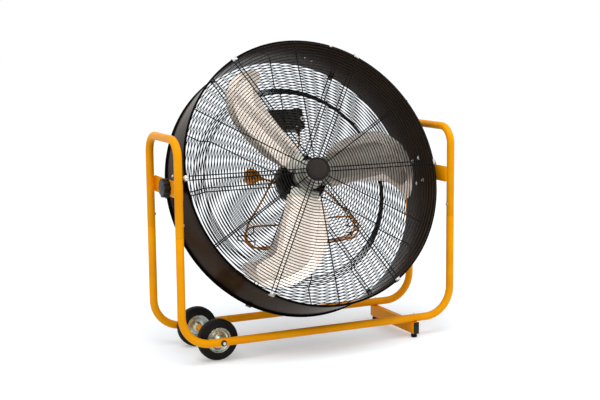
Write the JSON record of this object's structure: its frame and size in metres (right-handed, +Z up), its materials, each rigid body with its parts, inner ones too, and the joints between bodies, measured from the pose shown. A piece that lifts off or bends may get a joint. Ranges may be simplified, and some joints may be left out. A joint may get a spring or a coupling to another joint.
{
  "type": "drum fan",
  "caption": "Large floor drum fan: black steel drum with wire grilles, three-blade fan and motor, tilting in an orange tube frame with two wheels.",
  "frame": {"origin": "on the floor, under the middle of the object's box without the cord", "axes": "+Z up, the outlet grille faces -Y at rest (tilted face up), wheels at -X, foot bar at +X"},
  "size_m": [1.234, 0.6554, 1.2433],
  "materials": {
    "orange_paint": "amber-orange gloss powder coat",
    "black_gloss_paint": "black gloss powder coat on rolled steel",
    "black_wire_coat": "black coated steel wire",
    "black_plate": "black painted steel plate",
    "motor_paint": "black painted steel",
    "zinc": "bright zinc plated steel",
    "axle_steel": "turned steel",
    "wheel_zinc": "pressed zinc plated steel disc",
    "tyre_rubber": "black moulded rubber",
    "rubber": "black moulded rubber",
    "cord_rubber": "orange rubber sheath",
    "plug_rubber": "orange moulded plug",
    "black_plastic": "black moulded plastic",
    "box_plastic": "dark grey moulded plastic",
    "blade_aluminium": "mill finish aluminium sheet",
    "nickel": "nickel plate"
  },
  "bodies": {
    "frame": {"base_tube_front": "orange_paint", "base_tube_rear": "orange_paint", "handle_left": "orange_paint", "handle_right": "orange_paint", "frame_joint_screws": "zinc", "pivot_plate_left": "orange_paint", "pivot_plate_right": "orange_paint", "foot_bar": "orange_paint", "foot_bar_caps": "black_plastic", "rubber_feet": "rubber", "axle_rod": "axle_steel", "axle_nuts": "zinc", "axle_tube": "orange_paint", "axle_spacers": "zinc"},
    "drum": {"drum_shell": "black_gloss_paint", "pivot_brackets": "black_gloss_paint", "friction_washers": "black_plastic", "bracket_bolts": "zinc", "front_grille": "black_wire_coat", "rear_grille": "black_wire_coat", "front_cap": "black_plastic", "grille_clips_front": "zinc", "grille_clips_rear": "zinc", "motor_mount": "black_plate", "motor_bolts": "zinc", "motor_body": "motor_paint", "motor_end_cover": "motor_paint", "switch_box": "box_plastic", "switch_box_lid": "box_plastic", "rotary_switch": "black_plastic", "switch_bezel": "nickel", "cord_gland": "black_plastic", "cord": "cord_rubber", "plug": "plug_rubber", "plug_pins": "nickel", "cord_hooks": "black_wire_coat"},
    "fan": {"motor_shaft": "axle_steel", "fan_hub": "blade_aluminium", "blade_1": "blade_aluminium", "blade_2": "blade_aluminium", "blade_3": "blade_aluminium", "blade_bolts": "zinc"},
    "knob_left": {"tilt_knob_left": "black_plastic"},
    "knob_right": {"tilt_knob_right": "black_plastic"},
    "switch": {"switch_knob": "black_plastic"},
    "wheel_front": {"wheel_hub_front": "wheel_zinc", "tyre_front": "tyre_rubber"},
    "wheel_rear": {"wheel_hub_rear": "wheel_zinc", "tyre_rear": "tyre_rubber"}
  },
  "joints": [
    {"name": "drum_tilt", "type": "hinge", "parent": "frame", "child": "drum", "pos_m": [0, 0, 0.68], "axis": [-1, 0, 0], "range_deg": [-111.5, 68.5]},
    {"name": "fan_spin", "type": "hinge", "parent": "drum", "child": "fan", "pos_m": [0, 0, 0.68], "axis": [0, -0.9304, 0.3665], "continuous": true},
    {"name": "knob_left_turn", "type": "hinge", "parent": "drum", "child": "knob_left", "pos_m": [-0.598, 0, 0.68], "axis": [-1, 0, 0], "range_deg": [0, 360]},
    {"name": "knob_right_turn", "type": "hinge", "parent": "drum", "child": "knob_right", "pos_m": [0.598, 0, 0.68], "axis": [1, 0, 0], "range_deg": [0, 360]},
    {"name": "switch_turn", "type": "hinge", "parent": "drum", "child": "switch", "pos_m": [0.104, 0.21364, 0.90108], "axis": [1, 0, 0], "range_deg": [-90, 0]},
    {"name": "wheel_front_spin", "type": "hinge", "parent": "frame", "child": "wheel_front", "pos_m": [-0.436, -0.117, 0.0825], "axis": [0, 1, 0], "continuous": true},
    {"name": "wheel_rear_spin", "type": "hinge", "parent": "frame", "child": "wheel_rear", "pos_m": [-0.436, 0.117, 0.0825], "axis": [0, 1, 0], "continuous": true}
  ]
}
